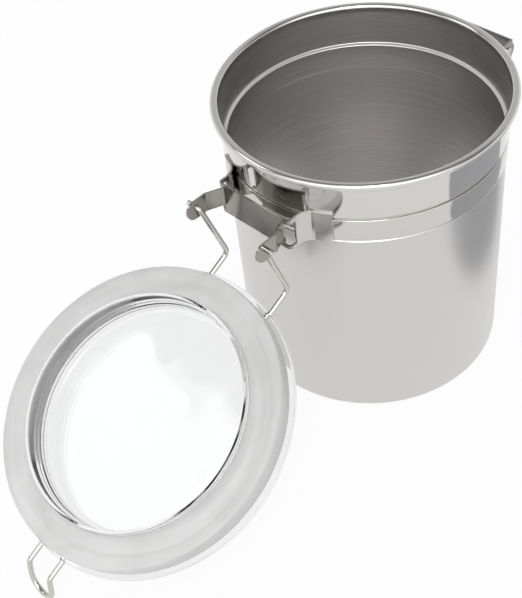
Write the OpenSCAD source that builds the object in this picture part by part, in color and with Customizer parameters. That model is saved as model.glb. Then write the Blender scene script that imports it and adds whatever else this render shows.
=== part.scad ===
// Stainless steel canister with a clear flip lid, a wire hinge and a draw latch.
// Millimetres. Origin at the centre of the base, +Z up, hinge towards +Y, latch towards -Y.
// The lid is drawn closed and swung open about the hinge pins for the rest pose.

/* [Canister] */
// Outside diameter of the rolled rim
rim_d = 150; // [90:1:240]
// Height from the base to the top of the rim
canister_h = 159.8; // [90:0.1:300]
// Outside diameter of the straight body
body_d = 141.2; // [80:0.1:230]
// Outside diameter of the neck between the groove and the rim
neck_d = 142.4; // [80:0.1:230]
// Sheet thickness of the shell
wall = 0.7; // [0.4:0.1:1.5]
// Radius of the bottom corner
base_corner_r = 3; // [1:0.5:10]
// Thickness of the rolled rim
bead_d = 4.3; // [2:0.1:8]

/* [Neck band] */
// Height of the band
band_h = 12.4; // [8:0.1:20]
// Thickness of the band
band_t = 1.5; // [0.5:0.1:3]
// Distance from the rim top down to the band
band_drop = 24.1; // [15:0.1:40]
// Depth of the groove that the band lies in
groove_depth = 1; // [0.5:0.1:3]

/* [Brackets] */
// Sheet thickness of both brackets
sheet = 1; // [0.6:0.1:2]
// Height of both brackets
bracket_h = 17.6; // [12:0.1:25]
// Distance from the rim top down to the brackets
bracket_drop = 19.9; // [15:0.1:40]
// Distance from the axis to the outer face of a bracket
bracket_y = 79.5; // [75:0.1:120]
// Half width of a bracket, over its corners
bracket_half_w = 23.2; // [15:0.1:40]
// Height of an ear
ear_h = 10.4; // [8:0.1:16]

/* [Hinge] */
// Distance from the axis to the hinge pins
pivot_y = 94.6; // [85:0.1:140]
// Distance from the rim top down to the hinge pins
pivot_drop = 25.35; // [15:0.05:40]
// Angle of the open lid from its closed place
open_angle = 206; // [90:1:215]
// Half spacing of the two cranked arms
arm_half_gap = 20.8; // [15:0.1:35]
// Distance of a hinge pin's free end from the middle
pin_end = 28.4; // [24:0.1:40]
// Distance from the axis to the bend of the arms, lid closed
arm_bend_y = 89.6; // [80:0.1:120]

/* [Lid] */
// Diameter of the clear flange
flange_d = 155.2; // [90:0.1:240]
// Height of the flange's top face over the rim
flange_top = 12.45; // [6:0.05:20]
// Thickness of the clear flange and of the dome
lid_t = 3.1; // [2:0.1:5]
// Inside diameter of the dome
dome_d = 114.2; // [60:0.1:200]
// Height of the dome's inner face over the rim
dome_rise = 14.3; // [8:0.1:30]
// Depth of the plug wall below the rim
plug_depth = 3.4; // [1:0.1:15]
// Inside diameter of the gasket
gasket_d = 118.8; // [60:0.1:220]

/* [Lid wire] */
// Diameter of the lid wire
wire_d = 2.8; // [1.5:0.1:5]
// Radius of the wire ring on the flange
ring_r = 66; // [40:0.5:110]
// Half spacing of the two legs of the front loop
loop_half_gap = 7.9; // [5:0.1:15]
// Reach of the front loop from the axis
loop_reach = 98.6; // [85:0.1:140]
// Height of the front loop's tip over the rim
loop_tip = 28.4; // [15:0.1:45]
// Upward slope of the front loop's end
loop_slope = 55; // [0:1:85]

/* [Latch] */
// Diameter of the link wire
link_d = 2.5; // [1.5:0.1:4]
// Half spacing of the two sides of the link
link_half_gap = 21.2; // [15:0.1:35]
// Half width of the lever
lever_half_w = 17.2; // [10:0.1:30]
// Length of the lever below its pivot
lever_len = 39; // [25:0.5:60]
// Distance between the lever's pivot and the link's pivot
throw = 7.1; // [4:0.1:12]

/* [Hidden] */
rim_r = rim_d / 2;
body_r = body_d / 2;
neck_r = neck_d / 2;
bead_r = bead_d / 2;
band_top = canister_h - band_drop;
groove_r = body_r - groove_depth;
groove_gap = 0.5;
groove_lip = 0.8;
bracket_top = canister_h - bracket_drop;
pivot_z = canister_h - pivot_drop;
wire_r = wire_d / 2;
link_r = link_d / 2;
pin_play = 0.05;
knuckle_play = 0.02;
gap = 0.3;
smooth = 144;
fine = 24;

// Wire level on the flange, measured from the rim
wire_level = flange_top + wire_r;

// Straight ears of the latch bracket and joggled ears of the hinge bracket, middle lines
latch_ear_x = 18.1;
hinge_ear_x = 19;
hinge_ear_tip_x = 22.95;
joggle_y = 88.5;
hinge_ear_tip_y = 100.9;
hinge_ear_drop = 0.85;
ear_root = 0.9;
window_sill = 1.8;
window_head = 2.3;

// Latch geometry, seen from the side with the outward distance first
latch_pivot = [pivot_y, pivot_z];
link_pivot_angle = 262;
hook_back = 17.1;
link_pivot = latch_pivot + throw * [cos(link_pivot_angle), sin(link_pivot_angle)];
hook = [loop_reach - hook_back, canister_h + wire_level + wire_r + link_r + gap];
link_len = norm(hook - link_pivot);
rivet_r = 1.4;
rivet_head_r = 2.3;
rivet_head_t = 0.5;

// Lever profile from its pivot, seen from the side: the web's middle line and a cheek's outline
web = [[5, 4.1], [5, -6], [1.5, -24], [0.5, 6 - lever_len], [4, -lever_len]];
cheek = [[5, 4.1], [-1, 3.6], [-4.2, 1], [-4.8, -8], [-3.4, -12], [1.5, -24], [5, -6]];

// Middle line of a latch ear and of a hinge ear, seen from above
straight_ear = [[latch_ear_x, bracket_y - ear_root], [latch_ear_x, pivot_y + ear_h / 2]];
joggled_ear = [[hinge_ear_x, bracket_y - ear_root], [hinge_ear_x, bracket_y + 0.5],
    [hinge_ear_tip_x, joggle_y], [hinge_ear_tip_x, hinge_ear_tip_y]];

// Points on a circle between two angles
function arc(centre, r, from, to, steps) =
    [for (i = [0 : steps]) centre + r * [cos(from + (to - from) * i / steps), sin(from + (to - from) * i / steps)]];

// Direction of a path at a point, taken between its neighbours
function heading(path, i) =
    let (a = path[max(i - 1, 0)], b = path[min(i + 1, len(path) - 1)])
    (b - a) / norm(b - a);

// Outline of a strip of thickness t along a path
function strip(path, t) =
    let (last = len(path) - 1)
    concat(
        [for (i = [0 : last]) path[i] + t / 2 * [-heading(path, i)[1], heading(path, i)[0]]],
        [for (i = [last : -1 : 0]) path[i] - t / 2 * [-heading(path, i)[1], heading(path, i)[0]]]
    );

// Round bar between two points
module rod(a, b, r) {
    d = b - a;
    translate(a)
        rotate([0, acos(d[2] / norm(d)), atan2(d[1], d[0])])
            cylinder(r = r, h = norm(d), $fn = fine);
}

// Ball that joins two stretches of wire, a hair thicker than the wire
module knuckle(p, r) {
    translate(p)
        sphere(r = r + knuckle_play, $fn = fine);
}

// Straight bars through a list of points, with a ball at each corner
module cranked_rod(points, r) {
    last = len(points) - 1;
    for (i = [0 : last - 1]) {
        rod(points[i], points[i + 1], r);
        if (i < last - 1)
            knuckle(points[i + 1], r);
    }
}

// Piece of a round ring about Z, starting at +X
module ring_piece(ring, angle, r) {
    rotate_extrude(angle = angle, $fn = smooth)
        translate([ring, 0])
            circle(r = r, $fn = fine);
}

// Bar along X through a point given as outward distance and height
module cross_bar(y, z, x0, x1, r) {
    translate([x0, y, z])
        rotate([0, 90, 0])
            cylinder(r = r, h = x1 - x0, $fn = fine);
}

// Swings the closed lid's parts to the open rest pose
module open_lid() {
    translate([0, pivot_y, pivot_z])
        rotate([-open_angle, 0, 0])
            translate([0, -pivot_y, -pivot_z])
                children();
}

// Both sides of a piece that is drawn for positive X
module both_sides() {
    for (side = [0, 1])
        mirror([side, 0, 0])
            children();
}

// Drawn shell in one piece with its base, neck groove and rolled rim
module canister_shell() {
    low = band_top - band_h - groove_gap;
    high = band_top + groove_gap;
    inner_r = body_r - wall;
    color([0.8, 0.79, 0.77]) {
        rotate_extrude($fn = smooth)
            polygon(concat(
                [[0, 0]],
                arc([body_r - base_corner_r, base_corner_r], base_corner_r, -90, 0, 6),
                [[body_r, low - groove_lip], [groove_r, low], [groove_r, high], [neck_r, high + groove_lip]],
                [[neck_r, canister_h - bead_r], [neck_r - wall, canister_h - bead_r]],
                [[neck_r - wall, high + groove_lip], [groove_r - wall, high], [groove_r - wall, low]],
                [[inner_r, low - groove_lip]],
                arc([inner_r - base_corner_r, base_corner_r + wall], base_corner_r, 0, -90, 6),
                [[0, wall]]
            ));
        rotate_extrude($fn = smooth)
            translate([rim_r - bead_r, canister_h - bead_r])
                circle(r = bead_r, $fn = fine);
    }
}

// Half-inch band in the neck groove
module neck_band() {
    inner_r = groove_r + pin_play;
    color([0.74, 0.74, 0.73])
        rotate_extrude($fn = smooth)
            translate([inner_r, band_top - band_h])
                square([band_t, band_h]);
}

// Middle line of a bracket from its foot on the band to the middle of its plate
foot_r = neck_r + pin_play + sheet / 2;
foot_turn = 6;
hollow_r = 9;
side_x = bracket_half_w - sheet / 2;
corner_r = 2;
hollow_centre = [side_x + hollow_r, sqrt(pow(foot_r + hollow_r, 2) - pow(side_x + hollow_r, 2))];
foot_angle = atan2(hollow_centre[1], hollow_centre[0]);
bracket_side = concat(
    arc([0, 0], foot_r, foot_angle - foot_turn, foot_angle - 1, 4),
    arc(hollow_centre, hollow_r, foot_angle + 180, 180, 8),
    arc([side_x - corner_r, bracket_y - sheet / 2 - corner_r], corner_r, 0, 90, 5)
);

// Stamped bracket: a plate off the neck, ears turned out of it, and feet on the band
module bracket(ear, ear_z, tip_y, hole_r) {
    window_low = bracket_top - bracket_h + window_sill;
    window_high = bracket_top - window_head;
    window_x = ear[0][0] + sheet / 2;
    difference() {
        union() {
            difference() {
                translate([0, 0, bracket_top - bracket_h])
                    linear_extrude(bracket_h)
                        polygon(strip(concat(bracket_side, [for (i = [len(bracket_side) - 1 : -1 : 0])
                            [-bracket_side[i][0], bracket_side[i][1]]]), sheet));
                both_sides()
                    translate([window_x, bracket_y - 4.5, window_low])
                        cube([bracket_half_w, 9, window_high - window_low]);
            }
            both_sides()
                intersection() {
                    translate([0, 0, ear_z - ear_h / 2])
                        linear_extrude(ear_h)
                            polygon(strip(ear, sheet));
                    union() {
                        translate([0, bracket_y - sheet, ear_z - ear_h / 2])
                            cube([60, tip_y - ear_h / 2 - bracket_y + sheet, ear_h]);
                        cross_bar(tip_y - ear_h / 2, ear_z, 10, 40, ear_h / 2);
                    }
                }
        }
        cross_bar(pivot_y, pivot_z, -60, 60, hole_r);
    }
}

// Rear bracket that carries the hinge pins
module hinge_bracket() {
    color([0.66, 0.64, 0.62])
        bracket(joggled_ear, pivot_z - hinge_ear_drop, hinge_ear_tip_y, wire_r + pin_play);
}

// Front bracket that carries the latch lever
module latch_bracket() {
    color([0.62, 0.61, 0.6])
        rotate([0, 0, 180])
            bracket(straight_ear, pivot_z, pivot_y + ear_h / 2, rivet_r);
}

// Turns a side profile, drawn outward and upward, into a slab that faces the front
module front_slab(x0, x1) {
    translate([x0, 0, 0])
        rotate([90, 0, -90])
            mirror([0, 0, 1])
                linear_extrude(x1 - x0)
                    children();
}

// Stamped lever with a channel section and a turned-out grip
module latch_lever() {
    at = latch_pivot;
    color([0.45, 0.45, 0.45])
        difference() {
            union() {
                front_slab(-lever_half_w, lever_half_w)
                    translate(at)
                        polygon(strip(web, sheet));
                both_sides()
                    front_slab(lever_half_w - sheet, lever_half_w)
                        translate(at)
                            polygon(cheek);
            }
            cross_bar(-at[0], at[1], -40, 40, rivet_r + pin_play);
            cross_bar(-link_pivot[0], link_pivot[1], -40, 40, link_r + pin_play);
        }
}

// Two short rivets that the lever turns on
module lever_rivets() {
    inner_x = lever_half_w - sheet - pin_play;
    outer_x = latch_ear_x + sheet / 2;
    color([0.7, 0.7, 0.7])
        both_sides() {
            cross_bar(-pivot_y, pivot_z, inner_x - rivet_head_t, outer_x + rivet_head_t, rivet_r);
            cross_bar(-pivot_y, pivot_z, inner_x - rivet_head_t, inner_x, rivet_head_r);
            cross_bar(-pivot_y, pivot_z, outer_x, outer_x + rivet_head_t, rivet_head_r);
        }
}

// Wire link that hangs from the lever and hooks over the lid's loop
module latch_link() {
    y = -link_pivot[0];
    top = link_pivot[1];
    low = top - link_len;
    end_x = lever_half_w - sheet - 0.8;
    bevel = 1.6;
    side = link_half_gap;
    color([0.72, 0.72, 0.72])
        cranked_rod(
            [[-end_x, y, top], [bevel - side, y, top], [-side, y, top - bevel], [-side, y, low + bevel],
                [bevel - side, y, low], [side - bevel, y, low], [side, y, low + bevel],
                [side, y, top - bevel], [side - bevel, y, top], [end_x, y, top]],
            link_r
        );
}

// Clear moulded lid: flange, plug wall and low dome in one piece
module clear_lid() {
    dome_r = dome_d / 2;
    flange_low = flange_top - lid_t;
    plug_r = gasket_d / 2 - pin_play;
    color([0.9, 0.93, 0.94, 0.4])
        open_lid()
            translate([0, 0, canister_h])
                rotate_extrude($fn = smooth)
                    polygon([
                        [0, dome_rise], [dome_r, dome_rise], [dome_r + 0.3, -plug_depth],
                        [plug_r - 0.4, -plug_depth], [plug_r, -plug_depth + 0.6], [plug_r, flange_low],
                        [flange_d / 2 - 0.5, flange_low], [flange_d / 2, flange_low + 0.5],
                        [flange_d / 2, flange_top - 0.5], [flange_d / 2 - 0.5, flange_top],
                        [dome_r + lid_t, flange_top], [dome_r + lid_t, dome_rise + lid_t - 0.8],
                        [dome_r + lid_t - 0.8, dome_rise + lid_t], [0, dome_rise + lid_t]
                    ]);
}

// Translucent gasket under the flange, with a step that enters the mouth
module lid_gasket() {
    inner_r = gasket_d / 2;
    step_r = neck_r - wall - 1.8;
    step = 1.6;
    flange_low = flange_top - lid_t;
    color([0.88, 0.88, 0.86])
        open_lid()
            translate([0, 0, canister_h])
                rotate_extrude($fn = smooth)
                    polygon([
                        [inner_r, -step], [step_r - 0.5, -step], [step_r, -step + 0.5], [step_r, gap],
                        [rim_r - 0.8, gap], [rim_r, gap + 0.8], [rim_r, flange_low], [inner_r, flange_low]
                    ]);
}

// One bent wire: hinge pins, cranked arms, ring round the dome and front loop
module lid_wire() {
    level = canister_h + wire_level;
    turn_r = 5;
    arm_turn = [arm_half_gap + turn_r, sqrt(pow(ring_r + turn_r, 2) - pow(arm_half_gap + turn_r, 2))];
    leg_turn = [loop_half_gap + turn_r, -sqrt(pow(ring_r + turn_r, 2) - pow(loop_half_gap + turn_r, 2))];
    arm_angle = atan2(arm_turn[1], arm_turn[0]);
    leg_angle = atan2(leg_turn[1], leg_turn[0]);
    tip_y = loop_reach;
    tip_z = canister_h + loop_tip;
    end_y = tip_y - loop_half_gap * cos(loop_slope);
    end_z = tip_z - loop_half_gap * sin(loop_slope);
    kink_y = tip_y - (tip_z - level) / tan(loop_slope);
    color([0.75, 0.75, 0.75])
        open_lid()
            both_sides() {
                cranked_rod(
                    [[pin_end, pivot_y, pivot_z], [arm_half_gap, pivot_y, pivot_z],
                        [arm_half_gap, arm_bend_y, level], [arm_half_gap, arm_turn[1], level]],
                    wire_r
                );
                knuckle([arm_half_gap, arm_turn[1], level], wire_r);
                translate([arm_turn[0], arm_turn[1], level])
                    rotate([0, 0, 180])
                        ring_piece(turn_r, arm_angle, wire_r);
                knuckle(ring_r * [cos(arm_angle), sin(arm_angle), level / ring_r], wire_r);
                translate([0, 0, level])
                    rotate([0, 0, leg_angle])
                        ring_piece(ring_r, arm_angle - leg_angle, wire_r);
                knuckle(ring_r * [cos(leg_angle), sin(leg_angle), level / ring_r], wire_r);
                translate([leg_turn[0], leg_turn[1], level])
                    rotate([0, 0, leg_angle + 180])
                        ring_piece(turn_r, -leg_angle, wire_r);
                knuckle([loop_half_gap, leg_turn[1], level], wire_r);
                cranked_rod(
                    [[loop_half_gap, leg_turn[1], level], [loop_half_gap, -kink_y, level],
                        [loop_half_gap, -end_y, end_z]],
                    wire_r
                );
                knuckle([loop_half_gap, -end_y, end_z], wire_r);
                translate([0, -end_y, end_z])
                    rotate([-loop_slope, 0, 0])
                        rotate([0, 0, -90])
                            ring_piece(loop_half_gap, 90, wire_r);
                knuckle([0, -tip_y, tip_z], wire_r);
            }
}

canister_shell();
neck_band();
hinge_bracket();
latch_bracket();
lever_rivets();
latch_lever();
latch_link();
clear_lid();
lid_gasket();
lid_wire();
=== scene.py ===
# %% [markdown]
# # A steel canister with a flip lid
# The canister stands open. Its clear lid hangs down behind it on a bent wire, and the wire's front
# loop rests on the table. The CAD model gives every size, so this lesson first loads it and then
# dresses it: turned sheet and plastic, bent wires, and finishes made from nodes.

# %% Load the CAD model
import math

import bpy
from mathutils import Matrix, Vector


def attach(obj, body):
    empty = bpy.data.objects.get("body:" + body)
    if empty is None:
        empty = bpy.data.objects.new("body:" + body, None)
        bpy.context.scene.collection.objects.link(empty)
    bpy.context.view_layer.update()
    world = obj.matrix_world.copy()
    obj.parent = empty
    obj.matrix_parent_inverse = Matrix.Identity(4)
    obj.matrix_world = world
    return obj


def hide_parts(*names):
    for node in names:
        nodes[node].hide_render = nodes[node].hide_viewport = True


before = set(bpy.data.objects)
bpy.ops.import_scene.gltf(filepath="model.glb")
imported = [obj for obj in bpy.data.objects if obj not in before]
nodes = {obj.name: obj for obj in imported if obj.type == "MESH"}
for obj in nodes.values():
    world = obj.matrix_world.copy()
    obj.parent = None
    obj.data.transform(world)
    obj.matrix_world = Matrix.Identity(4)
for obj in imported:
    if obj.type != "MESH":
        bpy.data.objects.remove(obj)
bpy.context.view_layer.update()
MM = 0.001

# %% [markdown]
# ## Sizes
# The sizes are the CAD model's own, in millimetres, so that a turned or bent piece lands on the solid
# that it stands for. The lid's sizes are given for the closed lid, from the rim's top.

# %% Sizes of the canister, lid and wires
HEIGHT = 159.8
PIVOT = Vector((0, 94.6, 134.45))
OPEN_ANGLE = 206
WIRE_RADIUS = 1.4
RING_RADIUS = 66
FLANGE_TOP = 12.45
WIRE_LEVEL = HEIGHT + FLANGE_TOP + WIRE_RADIUS
BEAD_RADIUS = 2.15
BEAD_CENTRE = (72.85, HEIGHT - BEAD_RADIUS)
GROOVE_LOW, GROOVE_HIGH = 122.8, 136.2
BAND_LOW, BAND_HIGH = 123.3, 135.7

# %% [markdown]
# ## Turning a piece
# Shell, band, lid and gasket are round, as if turned on a lathe. A lathe piece starts as one point,
# which is extruded along the outline of its section. Spin then carries the outline once round Z.
# Every corner of pressed sheet or moulded plastic is a little round, so the outline's corners get
# small arcs before they are extruded: a render shows a rounded edge by the light that it catches.


# %% Outline with rounded corners
STRAIGHT = 0.01
ARC_STEPS = 5


def unit(a, b):
    return (b - a).normalized()


def soften(corners):
    """Points of an outline given as (radius, height, corner radius)."""
    places = [Vector(c[:2]) for c in corners]
    points = [places[0]]
    for before, here, after, corner in zip(places, places[1:], places[2:], corners[1:]):
        round_by = corner[2] if len(corner) > 2 else 0
        come, go = unit(before, here), unit(here, after)
        turn = come.angle_signed(go)
        if round_by == 0 or abs(turn) < STRAIGHT:
            points.append(here)
            continue
        back = round_by * math.tan(abs(turn) / 2)
        start, end = here - come * back, here + go * back
        for i in range(ARC_STEPS + 1):
            t = i / ARC_STEPS
            points.append(start.lerp(here, t).lerp(here.lerp(end, t), t))
    points.append(places[-1])
    return points


# %% Extrude an outline and spin it
TURN_STEPS = 192
WELD = 1e-6
SMOOTH_ANGLE = math.radians(32)


def turned(name, outline):
    bpy.ops.object.select_all(action="DESELECT")
    bpy.ops.mesh.primitive_plane_add(size=MM)
    piece = bpy.context.object
    piece.name = piece.data.name = name
    bpy.ops.object.mode_set(mode="EDIT")
    bpy.ops.mesh.select_mode(type="VERT")
    bpy.ops.mesh.merge(type="CENTER")
    points = [Vector((p[0], 0, p[1])) * MM for p in outline]
    bpy.ops.transform.translate(value=points[0])
    for before, here in zip(points, points[1:]):
        bpy.ops.mesh.extrude_region_move(TRANSFORM_OT_translate={"value": here - before})
    bpy.ops.mesh.select_all(action="SELECT")
    bpy.ops.mesh.spin(steps=TURN_STEPS, angle=2 * math.pi, center=(0, 0, 0), axis=(0, 0, 1))
    close_and_smooth(piece)
    return piece


def close_and_smooth(piece):
    bpy.ops.mesh.select_all(action="SELECT")
    bpy.ops.mesh.remove_doubles(threshold=WELD)
    bpy.ops.mesh.normals_make_consistent(inside=False)
    bpy.ops.object.mode_set(mode="OBJECT")
    bpy.ops.object.shade_smooth_by_angle(angle=SMOOTH_ANGLE)
    print(piece.name, len(piece.data.polygons), "faces")


# %% [markdown]
# ## Closed and open
# The lid's pieces are easiest to turn and bend where they lie level, on the closed canister. Each is then
# swung about the hinge's axis to where the photograph has it, and that place is applied to its mesh.


# %% Swing a piece of the lid open
def above_rim(outline):
    """Lifts an outline whose heights count from the rim's top."""
    return [Vector((p[0], p[1] + HEIGHT)) for p in outline]


def swing_open(piece):
    pivot = PIVOT * MM
    swing = Matrix.Rotation(math.radians(-OPEN_ANGLE), 4, "X")
    piece.matrix_world = Matrix.Translation(pivot) @ swing @ Matrix.Translation(-pivot)
    bpy.ops.object.select_all(action="DESELECT")
    piece.select_set(True)
    bpy.context.view_layer.objects.active = piece
    bpy.ops.object.transform_apply(location=True, rotation=True, scale=True)


# %% [markdown]
# ## Polished and satin steel
# Steel is metallic all over. On the outside only its roughness changes: the neck and rim are polished
# like a mirror and the body below is satin. The inside keeps fine lines that run round it from the tool
# that smoothed it. The lines are noise that is squeezed in height and drawn out along the wall, which
# needs no picture. Such lines also stretch every highlight across them, which the shader's anisotropy
# does, with its tangent running round Z. The outside's two zones are told apart by height, and the
# inside gets a material of its own, because anisotropy is one number for a whole material. Its colour
# is also painted brighter than the outside's, a painted light that stands in for light bouncing inside.


# %% Helpers for node materials
def wear(piece, finish):
    piece.data.materials.clear()
    piece.data.materials.append(finish)


def new_finish(name, colour, metallic=0.0, roughness=0.5):
    finish = bpy.data.materials.new(name)
    finish.use_nodes = True
    shader = finish.node_tree.nodes["Principled BSDF"]
    shader.inputs["Base Color"].default_value = (*colour, 1)
    shader.inputs["Metallic"].default_value = metallic
    shader.inputs["Roughness"].default_value = roughness
    print("finish", name)
    return finish, finish.node_tree, shader


def feed(tree, socket, value):
    """Gives a socket a number, or links another node's output to it."""
    if isinstance(value, bpy.types.NodeSocket):
        tree.links.new(value, socket)
    else:
        socket.default_value = value


def add(tree, kind, *inputs, **settings):
    made = tree.nodes.new(kind)
    for key, value in settings.items():
        setattr(made, key, value)
    for socket, value in zip(made.inputs, inputs):
        feed(tree, socket, value)
    return made


def mix(tree, factor, a, b, kind="FLOAT"):
    made = add(tree, "ShaderNodeMix", data_type=kind)
    for name, value in (("Factor", factor), ("A", a), ("B", b)):
        feed(tree, made.inputs[name], value)
    return made.outputs["Result"]


def mix_colour(tree, factor, a, b):
    return mix(tree, factor, (*a, 1), (*b, 1), "RGBA")


def maths(tree, operation, *inputs):
    return add(tree, "ShaderNodeMath", *inputs, operation=operation).outputs[0]


def ramp(tree, value, low, high, out_low=0.0, out_high=1.0):
    made = add(tree, "ShaderNodeMapRange", value, low, high, out_low, out_high)
    return made.outputs[0]


# %% Helpers for noise and bump
NOISE_LOW, NOISE_HIGH = 0.3, 0.7


def noise(tree, coordinates, scale, detail):
    made = add(tree, "ShaderNodeTexNoise")
    made.inputs["Scale"].default_value = scale
    made.inputs["Detail"].default_value = detail
    tree.links.new(coordinates, made.inputs["Vector"])
    return made.outputs["Fac"]


def spread_noise(tree, value, out_low, out_high):
    """Noise keeps near its middle, so this spreads it from one value to another."""
    return ramp(tree, value, NOISE_LOW, NOISE_HIGH, out_low, out_high)


def object_place(tree):
    return add(tree, "ShaderNodeTexCoord").outputs["Object"]


def dent(tree, shader, height, distance):
    bump = add(tree, "ShaderNodeBump")
    bump.inputs["Strength"].default_value = 1.0
    bump.inputs["Distance"].default_value = distance
    tree.links.new(height, bump.inputs["Height"])
    tree.links.new(bump.outputs["Normal"], shader.inputs["Normal"])


def round_place(tree, along, across):
    """Coordinates drawn out round the Z axis and squeezed in height."""
    place = object_place(tree)
    flat = add(tree, "ShaderNodeVectorMath", place, (1, 1, 0), operation="MULTIPLY").outputs[0]
    facing = add(tree, "ShaderNodeVectorMath", flat, operation="NORMALIZE").outputs[0]
    around = add(tree, "ShaderNodeVectorMath", facing, (along, along, 0), operation="MULTIPLY").outputs[0]
    height = add(tree, "ShaderNodeVectorMath", place, (0, 0, across), operation="MULTIPLY").outputs[0]
    return add(tree, "ShaderNodeVectorMath", around, height, operation="ADD").outputs[0]


# %% Finishes of the drawn shell
STEEL, SATIN_ROUGHNESS, POLISH_ROUGHNESS = (0.63, 0.62, 0.60), 0.30, 0.07
# The inside colours are painted brighter than the outside steel: painted light for the light that bounces
# round inside the cup
INSIDE_STEEL_PAINTED_BRIGHT, INSIDE_LINE_PAINTED_BRIGHT, INSIDE_ROUGHNESS = (0.85, 0.835, 0.83), (0.74, 0.725, 0.72), 0.32
LINES_PER_METRE, LINE_STRETCH, LINE_DEPTH = 1500, 1.3, 0.000024
ANISOTROPY, LINE_EDGE_LOW, LINE_EDGE_HIGH = 0.8, 0.35, 0.65
SHEEN_SCALE, DRAWN_SCALE, DRAWN_DEPTH = 35.0, 30.0, 0.00008

outside_steel, tree, shader = new_finish("outside_steel", STEEL, metallic=1.0)
level = add(tree, "ShaderNodeSeparateXYZ", object_place(tree)).outputs["Z"]
neck = ramp(tree, level, (GROOVE_LOW - 1) * MM, GROOVE_LOW * MM)
sheen = spread_noise(tree, noise(tree, object_place(tree), SHEEN_SCALE, detail=3.0), 0.92, 1.08)
rough = ramp(tree, neck, 0.0, 1.0, SATIN_ROUGHNESS, POLISH_ROUGHNESS)
feed(tree, shader.inputs["Roughness"], maths(tree, "MULTIPLY", rough, sheen))
dent(tree, shader, noise(tree, object_place(tree), DRAWN_SCALE, detail=1.0), DRAWN_DEPTH)

# The inside's base colour is painted light, brighter than the outside's, with the tool lines a little
# darker
inside_steel_painted_bright, tree, shader = new_finish("inside_steel_painted_bright", INSIDE_STEEL_PAINTED_BRIGHT, metallic=1.0)
shader.inputs["Anisotropic"].default_value = ANISOTROPY
tangent = add(tree, "ShaderNodeTangent", direction_type="RADIAL", axis="Z")
feed(tree, shader.inputs["Tangent"], tangent.outputs[0])
fine_lines = noise(tree, round_place(tree, LINE_STRETCH, LINES_PER_METRE), scale=1.0, detail=4.0)
rough = spread_noise(tree, fine_lines, INSIDE_ROUGHNESS * 0.85, INSIDE_ROUGHNESS * 1.15)
feed(tree, shader.inputs["Roughness"], rough)
line = ramp(tree, fine_lines, LINE_EDGE_LOW, LINE_EDGE_HIGH)
feed(tree, shader.inputs["Base Color"], mix_colour(tree, line, INSIDE_LINE_PAINTED_BRIGHT, INSIDE_STEEL_PAINTED_BRIGHT))
dent(tree, shader, fine_lines, LINE_DEPTH)

# %% [markdown]
# ## The shell
# The shell is one drawn cup. Near the top the wall steps in to form the groove that the band lies in,
# and the edge is rolled outward into a bead, which makes the rim stiff and safe to touch. The outline
# goes up the outside, round the bead and down the inside, so the wall is a closed solid. The shoulder
# over the groove sits a fraction of a millimetre above the band, and the gap draws a thin dark line.

# %% Turn the drawn shell
BEAD_STEPS, BEAD_START, BEAD_SWEEP = 18, -140, 320
bead_arc = []
for i in range(BEAD_STEPS + 1):
    angle = math.radians(BEAD_START + BEAD_SWEEP * i / BEAD_STEPS)
    bead_arc.append(
        (BEAD_CENTRE[0] + BEAD_RADIUS * math.cos(angle), BEAD_CENTRE[1] + BEAD_RADIUS * math.sin(angle))
    )
BODY, GROOVE, NECK, SHEET, STEP = 70.6, 69.6, 71.2, 0.7, 0.8
SHOULDER_LOW, SHOULDER_HIGH = GROOVE_HIGH + 0.3, GROOVE_HIGH + 0.9
outside_wall = soften([
    (0, 0), (BODY, 0, 3), (BODY, GROOVE_LOW - STEP, 0.5), (GROOVE, GROOVE_LOW, 0.4),
    (GROOVE, SHOULDER_LOW, 0.4), (NECK, SHOULDER_HIGH, 0.5), bead_arc[0],
])
inside_wall = soften([
    bead_arc[-1], (NECK - SHEET, HEIGHT - 4, 1), (NECK - SHEET, GROOVE_HIGH + STEP, 0.6),
    (GROOVE - SHEET, GROOVE_HIGH, 0.6), (GROOVE - SHEET, GROOVE_LOW, 0.6),
    (BODY - SHEET, GROOVE_LOW - STEP, 0.6), (BODY - SHEET, SHEET, 3), (0, SHEET),
])
drawn_shell = turned("drawn_shell", outside_wall + bead_arc[1:-1] + inside_wall)
wear(drawn_shell, outside_steel)
drawn_shell.data.materials.append(inside_steel_painted_bright)
BELOW_BEAD, LEVEL_FACE = HEIGHT - 3, 0.9
for face in drawn_shell.data.polygons:
    outward = Vector((face.center.x, face.center.y, 0))
    faces_in = face.normal.dot(outward) < 0 or face.normal.z > LEVEL_FACE
    face.material_index = int(faces_in and face.center.z < BELOW_BEAD * MM)
print("inside faces", sum(face.material_index for face in drawn_shell.data.polygons))
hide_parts("canister_shell")
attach(drawn_shell, "canister")

# %% [markdown]
# ## Mirror-polished strip
# The band and the brackets are cut from polished strip. A mirror shows what stands around it, so its
# finish is almost nothing but a low roughness. A faint waviness in the bump keeps its reflections
# from looking ruled, as those of rolled strip are never quite straight. The brackets' feet lie on the
# band and shine like it, while the plates stand off in shadow. That shadow is painted shade: the
# plates' colour is painted darker where they stand further out than the band.


# %% Finish of polished strip
SMEAR_SCALE, SMEAR_LOW, SMEAR_HIGH, WAVE_SCALE = 120.0, 0.7, 1.4, 45.0


def polished(name, colour, roughness, wave_depth):
    finish, tree, shader = new_finish(name, colour, metallic=1.0)
    place = object_place(tree)
    smear = noise(tree, place, SMEAR_SCALE, detail=4.0)
    rough = spread_noise(tree, smear, roughness * SMEAR_LOW, roughness * SMEAR_HIGH)
    feed(tree, shader.inputs["Roughness"], rough)
    dent(tree, shader, noise(tree, place, WAVE_SCALE, detail=1.0), wave_depth)
    return finish


band_steel = polished("band_steel", (0.60, 0.59, 0.565), roughness=0.08, wave_depth=0.0001)
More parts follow.
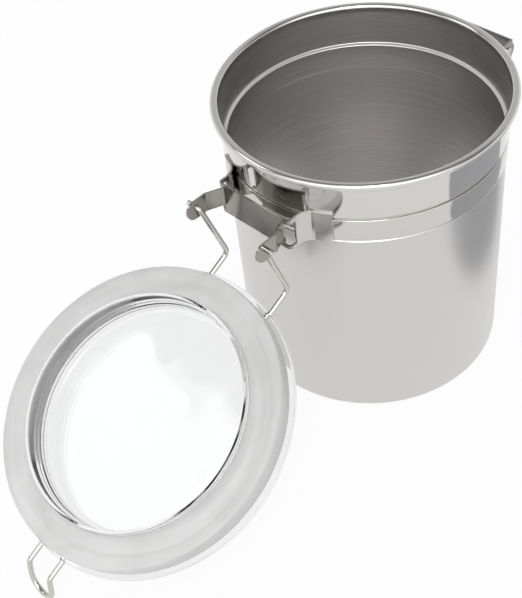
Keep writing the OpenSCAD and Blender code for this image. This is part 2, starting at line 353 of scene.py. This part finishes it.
# The plate colour is painted shade, a darker copy of the foot's steel for plates that stand in shadow
FOOT_STEEL, SHADED_PLATE_STEEL = (0.58, 0.57, 0.55), (0.33, 0.315, 0.295)
FOOT_REACH, PLATE_REACH = 76.5, 78.3
bracket_steel_painted_shade = polished("bracket_steel_painted_shade", SHADED_PLATE_STEEL, roughness=0.16, wave_depth=0.0001)
# Painted shade: the colour darkens from foot to plate by distance from the axis
tree = bracket_steel_painted_shade.node_tree
stand_off = add(tree, "ShaderNodeSeparateXYZ", object_place(tree)).outputs["Y"]
plate_shade = ramp(tree, maths(tree, "ABSOLUTE", stand_off), FOOT_REACH * MM, PLATE_REACH * MM)
shade = mix_colour(tree, plate_shade, FOOT_STEEL, SHADED_PLATE_STEEL)
feed(tree, tree.nodes["Principled BSDF"].inputs["Base Color"], shade)

# %% Turn the neck strap
BAND_INNER, BAND_OUTER, BAND_MIDDLE = 69.65, 71.15, 129
strap_outline = soften([
    (BAND_INNER, BAND_MIDDLE), (BAND_INNER, BAND_HIGH, 0.2), (BAND_OUTER, BAND_HIGH, 0.45),
    (BAND_OUTER, BAND_LOW, 0.45), (BAND_INNER, BAND_LOW, 0.2), (BAND_INNER, BAND_MIDDLE),
])
neck_strap = turned("neck_strap", strap_outline)
wear(neck_strap, band_steel)
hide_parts("neck_band")
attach(neck_strap, "canister")

# %% [markdown]
# ## Brackets, lever and rivets
# These are stamped sheet with real edges already in the CAD model, so the nodes stay as they are.
# They only need the finish of their strip.

# %% Dress the stamped parts
for name in ("hinge_bracket", "latch_bracket"):
    wear(nodes[name], bracket_steel_painted_shade)
lever_steel = polished("lever_steel", (0.30, 0.295, 0.29), roughness=0.14, wave_depth=0.0001)
rivet_steel = polished("rivet_steel", (0.55, 0.545, 0.53), roughness=0.12, wave_depth=0.00005)
wear(nodes["latch_lever"], lever_steel)
wear(nodes["lever_rivets"], rivet_steel)

# %% [markdown]
# ## Clear acrylic
# The lid is moulded in one piece: a flat flange, a plug wall that drops into the mouth, and a low dome.
# Clear plastic is a shader with full transmission. The mould leaves the faces slightly uneven, so a
# weak bump bends what is seen through them, and patches of faint haze soften its reflections.

# %% Finish of the clear lid
ACRYLIC_IOR, MOULD_SCALE, MOULD_DEPTH = 1.49, 30.0, 0.0001
HAZE_SCALE, HAZE_LOW, HAZE_HIGH, HAZE = 60.0, 0.35, 0.75, 0.05
acrylic, tree, shader = new_finish("clear_acrylic", (0.91, 0.915, 0.915))
shader.inputs["Transmission Weight"].default_value = 1.0
shader.inputs["IOR"].default_value = ACRYLIC_IOR
place = object_place(tree)
patches = noise(tree, place, HAZE_SCALE, detail=3.0)
feed(tree, shader.inputs["Roughness"], ramp(tree, patches, HAZE_LOW, HAZE_HIGH, 0.0, HAZE))
dent(tree, shader, noise(tree, place, MOULD_SCALE, detail=1.0), MOULD_DEPTH)

# %% Turn the clear lid
FLANGE_LOW, FLANGE_RIM = 9.35, 77.6
PLUG_LOW, PLUG_INNER, PLUG_OUTER = -3.4, 57.4, 59.35
DOME_LOW, DOME_TOP, DOME_INNER, DOME_RIM = 14.3, 17.4, 57.1, 60.2
lid_outline = soften([
    (0, DOME_LOW), (DOME_INNER, DOME_LOW, 2.2), (PLUG_INNER, PLUG_LOW, 0.4), (PLUG_OUTER, PLUG_LOW, 0.6),
    (PLUG_OUTER, FLANGE_LOW, 0.3), (FLANGE_RIM, FLANGE_LOW, 0.6), (FLANGE_RIM, FLANGE_TOP, 1.0),
    (DOME_RIM, FLANGE_TOP, 1.2), (DOME_RIM, DOME_TOP, 2.6), (0, DOME_TOP),
])
moulded_lid = turned("moulded_lid", above_rim(lid_outline))
swing_open(moulded_lid)
wear(moulded_lid, acrylic)
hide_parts("clear_lid")
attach(moulded_lid, "lid")

# %% [markdown]
# ## The milky gasket
# The gasket is silicone, which lets light in and scatters it. About a third of the light passes through
# and the rest comes back white, so the flange behind it shows only as a soft change of tone.

# %% Finish of the silicone
MILKY, CLOUDY = (0.90, 0.90, 0.895), (0.78, 0.78, 0.775)
SILICONE_IOR, LIGHT_THROUGH, LIGHT_SCATTERED, SCATTER_REACH = 1.41, 0.35, 0.25, 0.004
CLOUD_SCALE, GRAIN_SCALE, GRAIN_DEPTH = 38.0, 900.0, 0.00002
silicone, tree, shader = new_finish("milky_silicone", MILKY, roughness=0.32)
shader.inputs["Transmission Weight"].default_value = LIGHT_THROUGH
shader.inputs["IOR"].default_value = SILICONE_IOR
shader.inputs["Subsurface Weight"].default_value = LIGHT_SCATTERED
shader.inputs["Subsurface Radius"].default_value = (1.0, 1.0, 0.95)
shader.inputs["Subsurface Scale"].default_value = SCATTER_REACH
place = object_place(tree)
cloud = noise(tree, place, CLOUD_SCALE, detail=3.0)
tone = mix_colour(tree, spread_noise(tree, cloud, 0.0, 1.0), CLOUDY, MILKY)
feed(tree, shader.inputs["Base Color"], tone)
dent(tree, shader, noise(tree, place, GRAIN_SCALE, detail=2.0), GRAIN_DEPTH)

# %% Turn the soft gasket
GASKET_INNER, GASKET_SLOPE, GASKET_STEP, GASKET_OUTER = 59.4, 63.7, 68.7, 75
GASKET_LOW, GASKET_SEAT, GASKET_START, GASKET_TOP = -1.6, 0.3, 4, FLANGE_LOW - 0.05
gasket_outline = soften([
    (GASKET_INNER, GASKET_START), (GASKET_INNER, GASKET_LOW, 0.5), (GASKET_SLOPE, GASKET_LOW, 9),
    (GASKET_STEP, GASKET_SEAT, 6), (GASKET_OUTER, GASKET_SEAT, 1.4), (GASKET_OUTER, GASKET_TOP, 0.3),
    (GASKET_INNER, GASKET_TOP, 0.3), (GASKET_INNER, GASKET_START),
])
soft_gasket = turned("soft_gasket", above_rim(gasket_outline))
swing_open(soft_gasket)
wear(soft_gasket, silicone)
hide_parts("lid_gasket")
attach(soft_gasket, "lid")

# %% [markdown]
# ## Bending wire
# A real lid wire is bent from one rod, and it can be modelled in the same order. The wire starts as a
# filled circle. Each straight stretch extrudes that face, and each bend spins it about the bend's own
# centre. The face at the end stays selected, so the next stretch goes on from it. Half of the wire is
# bent in this way, and a mirror gives the other half.


# %% Helpers that bend wire
WIRE_SIDES, LEAST_STEPS, STEP_DEGREES = 20, 4, 8


class Wire:
    """A filled circle that is pushed and turned along a path, in millimetres."""

    def __init__(self, name, start, heading, radius):
        self.place, self.heading = Vector(start), Vector(heading).normalized()
        facing = self.heading.to_track_quat("Z", "Y").to_euler()
        bpy.ops.object.select_all(action="DESELECT")
        bpy.ops.mesh.primitive_circle_add(
            vertices=WIRE_SIDES, radius=radius * MM, fill_type="NGON",
            location=self.place * MM, rotation=facing,
        )
        self.piece = bpy.context.object
        self.piece.name = self.piece.data.name = name
        bpy.ops.object.transform_apply(location=True, rotation=True, scale=True)
        bpy.ops.object.mode_set(mode="EDIT")
        bpy.ops.mesh.select_mode(type="FACE")
        bpy.ops.mesh.select_all(action="SELECT")

    def run_to(self, place):
        step = Vector(place) - self.place
        bpy.ops.mesh.extrude_region_move(TRANSFORM_OT_translate={"value": step * MM})
        self.place = Vector(place)

    def turn(self, centre, axis, angle, steps):
        """Turns about an axis by degrees, anticlockwise seen from the axis's tip."""
        centre, spin = Vector(centre), Matrix.Rotation(math.radians(angle), 3, Vector(axis))
        # In a script without a window, spin's own angle counts clockwise
        bpy.ops.mesh.spin(steps=steps, angle=-math.radians(angle), center=centre * MM, axis=axis)
        self.place = centre + spin @ (self.place - centre)
        self.heading = spin @ self.heading

    def corner(self, place, towards, radius):
        """Runs up to a corner, and bends there towards the next point."""
        place, leave = Vector(place), (Vector(towards) - Vector(place)).normalized()
        angle = self.heading.angle(leave)
        axis = self.heading.cross(leave).normalized()
        start = place - self.heading * radius * math.tan(angle / 2)
        self.run_to(start)
        steps = max(LEAST_STEPS, round(math.degrees(angle) / STEP_DEGREES))
        self.turn(start + axis.cross(self.heading) * radius, axis, math.degrees(angle), steps)

    def mirrored(self):
        """Drops the face in the middle plane, mirrors the half and welds it shut."""
        bpy.ops.mesh.delete(type="ONLY_FACE")
        bpy.ops.object.mode_set(mode="OBJECT")
        mirror = self.piece.modifiers.new("other_half", "MIRROR")
        mirror.merge_threshold = 10 * WELD
        bpy.ops.object.modifier_apply(modifier=mirror.name)
        bpy.ops.object.mode_set(mode="EDIT")
        close_and_smooth(self.piece)
        return self.piece


# %% [markdown]
# ## The lid wire
# One wire makes the hinge pins, the two cranked arms, the ring that lies on the flange, and the front
# loop. From the pin it turns along the arm, sweeps on to the ring, follows it round to the front, and
# leaves it again for the loop. It is bent as it lies on the closed lid, where the loop's end turns up,
# and is then swung open with the lid, so that the loop rests on the table.

# %% Bend the lid wire
SWEEP = 5
PIN_END, ARM_X, LEG_X = 28.4, 20.8, 7.9
ARM_BEND_Y, LOOP_REACH, LOOP_TIP, LOOP_SLOPE = 89.6, 98.6, 28.4, math.radians(55)
sweep_reach = RING_RADIUS + SWEEP
arm_sweep_y = math.sqrt(sweep_reach**2 - (ARM_X + SWEEP) ** 2)
leg_sweep_y = -math.sqrt(sweep_reach**2 - (LEG_X + SWEEP) ** 2)
arm_angle = math.degrees(math.atan2(arm_sweep_y, ARM_X + SWEEP))
leg_angle = math.degrees(math.atan2(leg_sweep_y, LEG_X + SWEEP))
loop_rise = Vector((0, -math.cos(LOOP_SLOPE), math.sin(LOOP_SLOPE)))
loop_end = Vector((0, -LOOP_REACH, HEIGHT + LOOP_TIP)) - loop_rise * LEG_X
kink_y = -LOOP_REACH + (HEIGHT + LOOP_TIP - WIRE_LEVEL) / math.tan(LOOP_SLOPE)
PIN_BEND, ARM_BEND, KINK_BEND = 2.2, 4.0, 4.0
SWEEP_STEPS, RING_STEPS, LOOP_STEPS = 10, 72, 14
UP = (0, 0, 1)

wire = Wire("bent_lid_wire", (PIN_END, PIVOT.y, PIVOT.z), (-1, 0, 0), WIRE_RADIUS)
bend = (ARM_X, ARM_BEND_Y, WIRE_LEVEL)
wire.corner((ARM_X, PIVOT.y, PIVOT.z), bend, PIN_BEND)
wire.corner(bend, (ARM_X, arm_sweep_y, WIRE_LEVEL), ARM_BEND)
wire.run_to((ARM_X, arm_sweep_y, WIRE_LEVEL))
wire.turn((ARM_X + SWEEP, arm_sweep_y, WIRE_LEVEL), UP, arm_angle, SWEEP_STEPS)
wire.turn((0, 0, WIRE_LEVEL), UP, leg_angle - arm_angle, RING_STEPS)
wire.turn((LEG_X + SWEEP, leg_sweep_y, WIRE_LEVEL), UP, -leg_angle, SWEEP_STEPS)
leg_end = loop_end + Vector((LEG_X, 0, 0))
wire.corner((LEG_X, kink_y, WIRE_LEVEL), leg_end, KINK_BEND)
wire.run_to(leg_end)
wire.turn(loop_end, loop_rise.cross(Vector((-1, 0, 0))), 90, LOOP_STEPS)
bent_lid_wire = wire.mirrored()
swing_open(bent_lid_wire)

# %% [markdown]
# ## The latch link
# The link is a thinner wire whose ends turn in the lever's cheeks. It hangs down while the lid is open,
# and two corners are all that it needs on each side.

# %% Bend the latch link
LINK_RADIUS, LINK_X, LINK_END_X, LINK_BEND = 1.25, 21.2, 15.4, 3.0
LINK_Y, LINK_TOP, LINK_LENGTH = -93.612, 127.419, 50.65
low = LINK_TOP - LINK_LENGTH
link = Wire("bent_latch_link", (LINK_END_X, LINK_Y, LINK_TOP), (1, 0, 0), LINK_RADIUS)
link.corner((LINK_X, LINK_Y, LINK_TOP), (LINK_X, LINK_Y, low), LINK_BEND)
link.corner((LINK_X, LINK_Y, low), (0, LINK_Y, low), LINK_BEND)
link.run_to((0, LINK_Y, low))
bent_latch_link = link.mirrored()

# %% [markdown]
# ## Bright wire
# Drawn steel wire is bright and very smooth, and its colour is tinted slightly warm, a painted reflection
# of the warm room. The strip's finish suits it, with less waviness. It shows the pale table on one side
# and the dimmer room on the other.

# %% Dress both wires
# The wire's warm tint is a painted reflection of the room
wire_steel = polished("wire_steel", (0.57, 0.56, 0.525), roughness=0.10, wave_depth=0.00004)
for piece, node, body in ((bent_lid_wire, "lid_wire", "lid"), (bent_latch_link, "latch_link", "link")):
    wear(piece, wire_steel)
    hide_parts(node)
    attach(piece, body)

# %% [markdown]
# ## The table
# The photograph has a pure white ground with hardly any shadow. The floor is white to the camera and
# in reflections, and a share of its real shading is mixed in to keep the contact shadow.


# %% White table
def seen_directly(tree):
    ray = add(tree, "ShaderNodeLightPath").outputs
    either = maths(tree, "MAXIMUM", ray["Is Camera Ray"], ray["Is Glossy Ray"])
    return maths(tree, "MAXIMUM", either, ray["Is Transmission Ray"])


WHITE = (1, 1, 1, 1)
TABLE_SIZE, TABLE_GLOW, SHADOW_SHARE = 8, 1.02, 0.12
bpy.ops.object.select_all(action="DESELECT")
bpy.ops.mesh.primitive_plane_add(size=TABLE_SIZE)
table = bpy.context.object
table.name = "table"
table_white, tree, shader = new_finish("table_white", (0.85, 0.85, 0.85), roughness=0.9)
glow = add(tree, "ShaderNodeEmission", WHITE, TABLE_GLOW)
share = ramp(tree, seen_directly(tree), 0.0, 1.0, 0.0, 1 - SHADOW_SHARE)
surface = add(tree, "ShaderNodeMixShader", share, shader.outputs[0], glow.outputs[0])
tree.links.new(surface.outputs[0], tree.nodes["Material Output"].inputs["Surface"])
wear(table, table_white)

# %% [markdown]
# ## The grey card
# The right of the body shows a soft dark patch, the reflection of something grey beside the canister.
# A round card on the table gives it. The camera, shadows and soft light pass it by, so only polished
# surfaces show it.

# %% Grey card that only the steel sees
CARD_PLACE, CARD_RADIUS, CARD_SIDES = (-0.185, -0.15, 0.002), 0.115, 64
CARD_COLOUR, CARD_GLOW = (0.95, 0.95, 1.0), 0.5
bpy.ops.object.select_all(action="DESELECT")
bpy.ops.mesh.primitive_circle_add(
    vertices=CARD_SIDES, radius=CARD_RADIUS, fill_type="NGON", location=CARD_PLACE
)
card = bpy.context.object
card.name = "grey_card"
card_grey, tree, shader = new_finish("card_grey", CARD_COLOUR)
glow = add(tree, "ShaderNodeEmission", (*CARD_COLOUR, 1), CARD_GLOW)
tree.links.new(glow.outputs[0], tree.nodes["Material Output"].inputs["Surface"])
wear(card, card_grey)
for ray_kind in ("camera", "shadow", "diffuse", "transmission"):
    setattr(card, f"visible_{ray_kind}", False)

# %% [markdown]
# ## The room
# Steel looks like steel only when it has something dark to reflect. To polished surfaces this room is
# white near the table, bright on the side where the camera stands, and dim elsewhere. All other light
# comes from it evenly, and seen straight or through the lid it is white.

# %% Room
room = bpy.data.worlds.new("room")
bpy.context.scene.world = room
room.use_nodes = True
tree = room.node_tree
tree.nodes.clear()
ray = add(tree, "ShaderNodeLightPath").outputs
direction = add(tree, "ShaderNodeTexCoord").outputs["Generated"]
height = add(tree, "ShaderNodeSeparateXYZ", direction).outputs["Z"]
ROOM_LIGHT, SIDE_ROOM, FAR_ROOM, NEAR_ROOM = 0.72, 0.25, 0.65, 2.0
BRIGHT_SIDE = (-0.67, 0.74, 0.0)
NEAR_EDGE, FAR_EDGE, SKIRTING = (0.25, 0.65), (-0.1, -0.5), (0.05, 0.35)
nearness = add(tree, "ShaderNodeVectorMath", direction, BRIGHT_SIDE, operation="DOT_PRODUCT")
nearness = nearness.outputs["Value"]
far_wall = ramp(tree, nearness, *FAR_EDGE, SIDE_ROOM, FAR_ROOM)
walls = mix(tree, ramp(tree, nearness, *NEAR_EDGE), far_wall, NEAR_ROOM)
reflected = mix(tree, ramp(tree, height, *SKIRTING), 1.0, walls)
strength = mix(tree, ray["Is Glossy Ray"], ROOM_LIGHT, reflected)
clear_view = maths(tree, "MAXIMUM", ray["Is Camera Ray"], ray["Is Transmission Ray"])
strength = mix(tree, clear_view, strength, 1.0)
background = add(tree, "ShaderNodeBackground", WHITE, strength)
output = add(tree, "ShaderNodeOutputWorld")
tree.links.new(background.outputs[0], output.inputs["Surface"])
print("room nodes", len(tree.nodes))

# %% [markdown]
# ## Soft lamps
# Two big soft lamps are enough. The main one stands above the camera, so that its light reaches the far
# wall inside the canister. A weaker one from the side lifts the lid.


# %% Place the lamps
LAMP_TARGET = Vector((0, 0.03, 0.1))


def soft_lamp(name, place, size, watts):
    bpy.ops.object.light_add(type="AREA", location=place)
    lamp = bpy.context.object
    lamp.name = name
    aim = LAMP_TARGET - Vector(place)
    lamp.rotation_euler = aim.to_track_quat("-Z", "Y").to_euler()
    lamp.data.size = size
    lamp.data.energy = watts
    print(name, watts, "W")


soft_lamp("main_lamp", place=(-0.75, 0.85, 1.35), size=0.7, watts=7.0)
soft_lamp("side_lamp", place=(0.9, 0.9, 0.9), size=0.6, watts=2.0)

# %% [markdown]
# ## The camera
# The camera stands where the photograph was taken, found by fitting the canister's ellipses and the
# lid's ring. It is rolled a little, and its lens is a short telephoto.

# %% Place the camera
CAMERA_PLACE = (-0.3005, 0.3339, 0.4820)
CAMERA_TILT, CAMERA_HEADING, CAMERA_ROLL = 44.03, -129.97, -7.843
SENSOR_WIDTH, LENS, NEAREST = 24, 44.885, 0.01
camera_data = bpy.data.cameras.new("camera")
camera_data.sensor_width = SENSOR_WIDTH
camera_data.lens = LENS
camera_data.clip_start = NEAREST
camera = bpy.data.objects.new("camera", camera_data)
bpy.context.scene.collection.objects.link(camera)
heading = Matrix.Rotation(math.radians(CAMERA_HEADING), 4, "Z")
tilt = Matrix.Rotation(math.radians(CAMERA_TILT), 4, "X")
roll = Matrix.Rotation(math.radians(CAMERA_ROLL), 4, "Z")
camera.matrix_world = Matrix.Translation(CAMERA_PLACE) @ heading @ tilt @ roll
bpy.context.scene.camera = camera
bpy.context.scene.view_settings.view_transform = "Standard"
print("camera at", CAMERA_PLACE)
